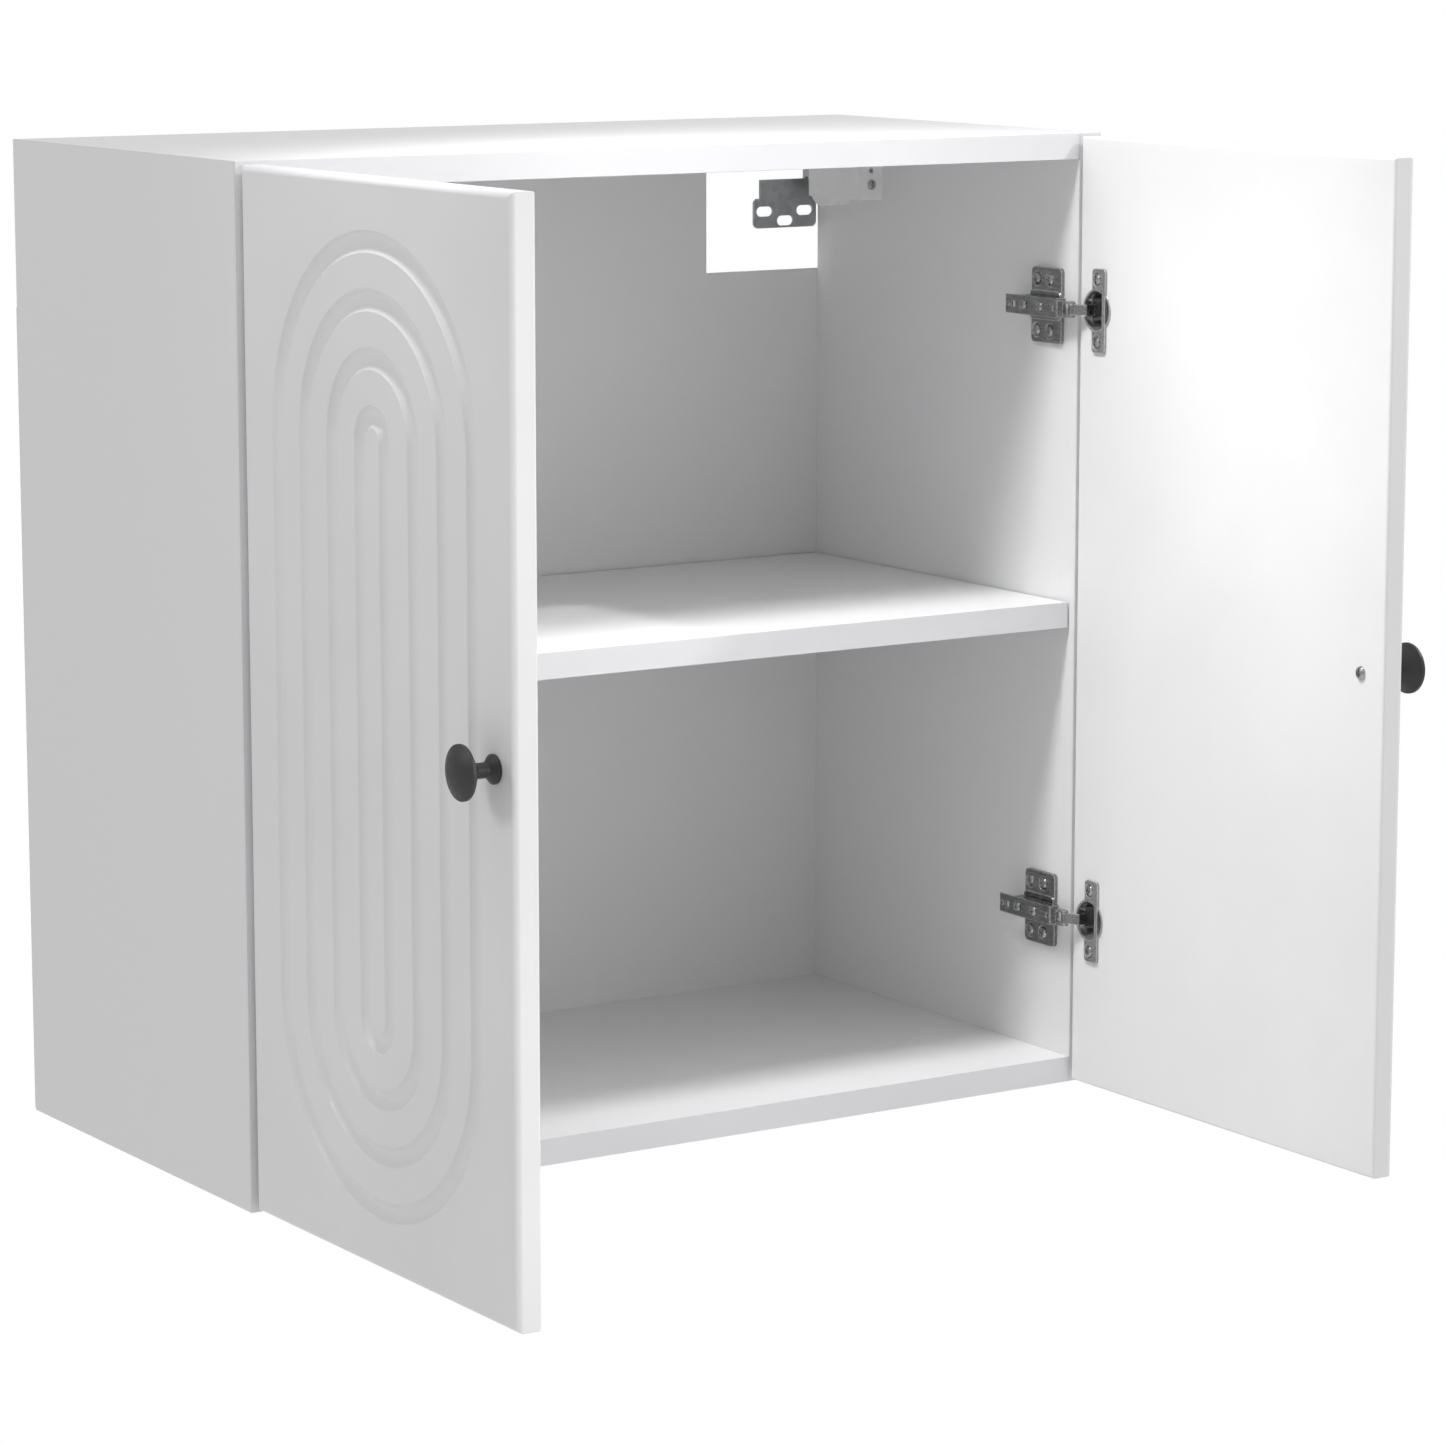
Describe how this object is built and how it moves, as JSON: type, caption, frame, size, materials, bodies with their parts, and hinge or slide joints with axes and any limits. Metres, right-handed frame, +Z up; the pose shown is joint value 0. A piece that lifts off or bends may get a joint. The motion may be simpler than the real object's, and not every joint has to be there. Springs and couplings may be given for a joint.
{
  "type": "hanging wall cabinet",
  "caption": "Square white wall cabinet with a shelf, paired doors with racetrack grooves and black knobs, concealed hinges, and hook hangers on wall plates.",
  "frame": {"origin": "centre of the cabinet's back face, on the wall plane", "axes": "+X to the right seen from the front, +Y into the wall, +Z up; the front faces -Y"},
  "size_m": [0.6466, 0.589, 0.6],
  "materials": {
    "back_sheet": "white lacquered thin fibreboard",
    "door_foil": "smooth satin white foil on fibreboard",
    "black_knob": "matt black",
    "white_board": "satin white melamine board",
    "edge_band": "satin white edging",
    "beech": "plain beech",
    "white_plastic": "satin white moulded plastic",
    "zinc_casting": "dull zinc",
    "galvanised_steel": "dull zinc-plated sheet",
    "screw_steel": "bright zinc-plated",
    "nickel_plate": "nickel-plated pressed steel"
  },
  "bodies": {
    "cabinet": {"back_panel": "back_sheet", "back_panel_nails": "screw_steel", "bottom_panel": "white_board", "cam_bolts": "screw_steel", "cam_locks": "zinc_casting", "carcass_edge_bands": "edge_band", "dowels": "beech", "left_hanger_hook": "galvanised_steel", "left_hanger_housing": "white_plastic", "left_hanger_screw": "screw_steel", "left_hinge_arm_pins": "nickel_plate", "left_hinge_arm_screws": "screw_steel", "left_hinge_plate_screws": "screw_steel", "left_lower_hinge_arm": "nickel_plate", "left_lower_hinge_plate": "nickel_plate", "left_side_panel": "white_board", "left_upper_hinge_arm": "nickel_plate", "left_upper_hinge_plate": "nickel_plate", "left_wall_plate": "galvanised_steel", "right_hanger_hook": "galvanised_steel", "right_hanger_housing": "white_plastic", "right_hanger_screw": "screw_steel", "right_hinge_arm_pins": "nickel_plate", "right_hinge_arm_screws": "screw_steel", "right_hinge_plate_screws": "screw_steel", "right_lower_hinge_arm": "nickel_plate", "right_lower_hinge_plate": "nickel_plate", "right_side_panel": "white_board", "right_upper_hinge_arm": "nickel_plate", "right_upper_hinge_plate": "nickel_plate", "right_wall_plate": "galvanised_steel", "shelf": "white_board", "shelf_edge_band": "edge_band", "shelf_pins": "screw_steel", "top_panel": "white_board"},
    "left_links": {"left_lower_hinge_link": "nickel_plate", "left_upper_hinge_link": "nickel_plate"},
    "left_door": {"left_door_panel": "door_foil", "left_hinge_cup_pins": "nickel_plate", "left_hinge_cup_screws": "screw_steel", "left_knob": "black_knob", "left_knob_screw": "screw_steel", "left_lower_hinge_cup": "nickel_plate", "left_upper_hinge_cup": "nickel_plate"},
    "right_links": {"right_lower_hinge_link": "nickel_plate", "right_upper_hinge_link": "nickel_plate"},
    "right_door": {"right_door_panel": "door_foil", "right_hinge_cup_pins": "nickel_plate", "right_hinge_cup_screws": "screw_steel", "right_knob": "black_knob", "right_knob_screw": "screw_steel", "right_lower_hinge_cup": "nickel_plate", "right_upper_hinge_cup": "nickel_plate"}
  },
  "joints": [
    {"name": "left_link_swing", "type": "hinge", "parent": "cabinet", "child": "left_links", "pos_m": [-0.2745, -0.298, 0], "axis": [0, 0, 1], "range_deg": [-24.05, 3.21]},
    {"name": "left_door_hinge", "type": "hinge", "parent": "left_links", "child": "left_door", "pos_m": [-0.2864, -0.30342, 0], "axis": [0, 0, 1], "range_deg": [-15.21, 114.05]},
    {"name": "right_link_swing", "type": "hinge", "parent": "cabinet", "child": "right_links", "pos_m": [0.2745, -0.298, 0], "axis": [0, 0, 1], "range_deg": [-3.21, 24.05]},
    {"name": "right_door_hinge", "type": "hinge", "parent": "right_links", "child": "right_door", "pos_m": [0.2864, -0.30342, 0], "axis": [0, 0, 1], "range_deg": [-114.05, 15.21]}
  ],
  "couplings": [
    {"joint": "left_link_swing", "follows": "left_door_hinge", "ratio": -0.21087},
    {"joint": "right_link_swing", "follows": "right_door_hinge", "ratio": -0.21087}
  ]
}
